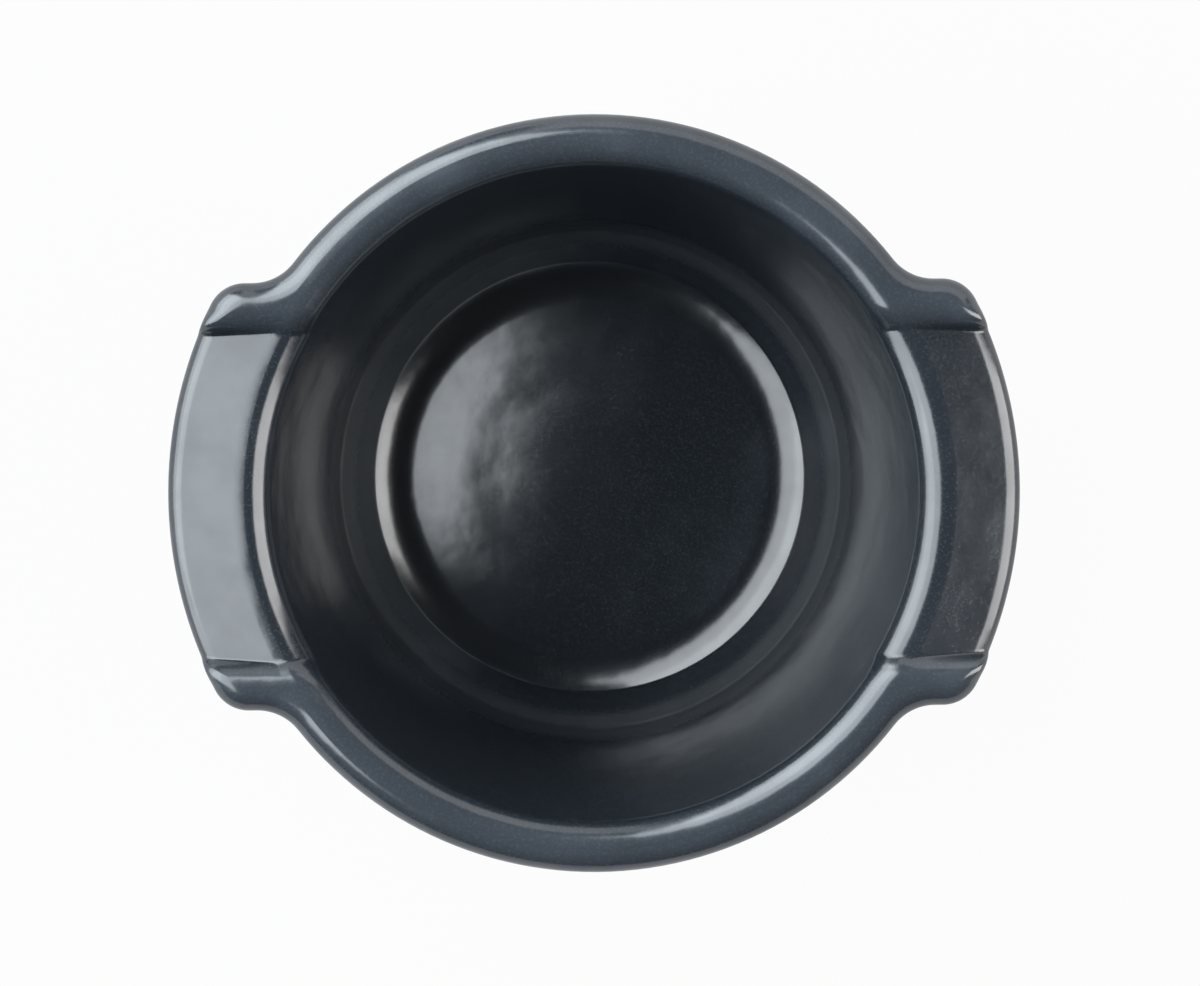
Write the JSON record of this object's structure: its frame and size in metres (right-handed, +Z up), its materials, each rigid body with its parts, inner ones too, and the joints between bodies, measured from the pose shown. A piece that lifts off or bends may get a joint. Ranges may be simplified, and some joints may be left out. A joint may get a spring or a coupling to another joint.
{
  "type": "round baking dish",
  "caption": "Small deep round stoneware baking dish with a rolled rim, a glazed body, a bare foot ring and ribbed lug handles on opposite sides.",
  "frame": {"origin": "centre of the foot ring's underside, on the surface that the dish stands on", "axes": "+Z up the bowl's axis, +X through the middle of the right handle, +Y away from the viewer in the usual front view"},
  "size_m": [0.1136, 0.1, 0.055],
  "materials": {
    "bare_clay": "unglazed fired stoneware, matt, fine grained",
    "handle_glaze": "dark slate-blue glaze over stoneware, glossy with a faint ripple",
    "dark_glaze": "dark slate-blue glaze, glossy with a faint ripple"
  },
  "bodies": {
    "root": {"bowl": "bare_clay", "left_handle": "handle_glaze", "right_handle": "handle_glaze", "glaze": "dark_glaze", "base_glaze": "dark_glaze"}
  },
  "joints": []
}
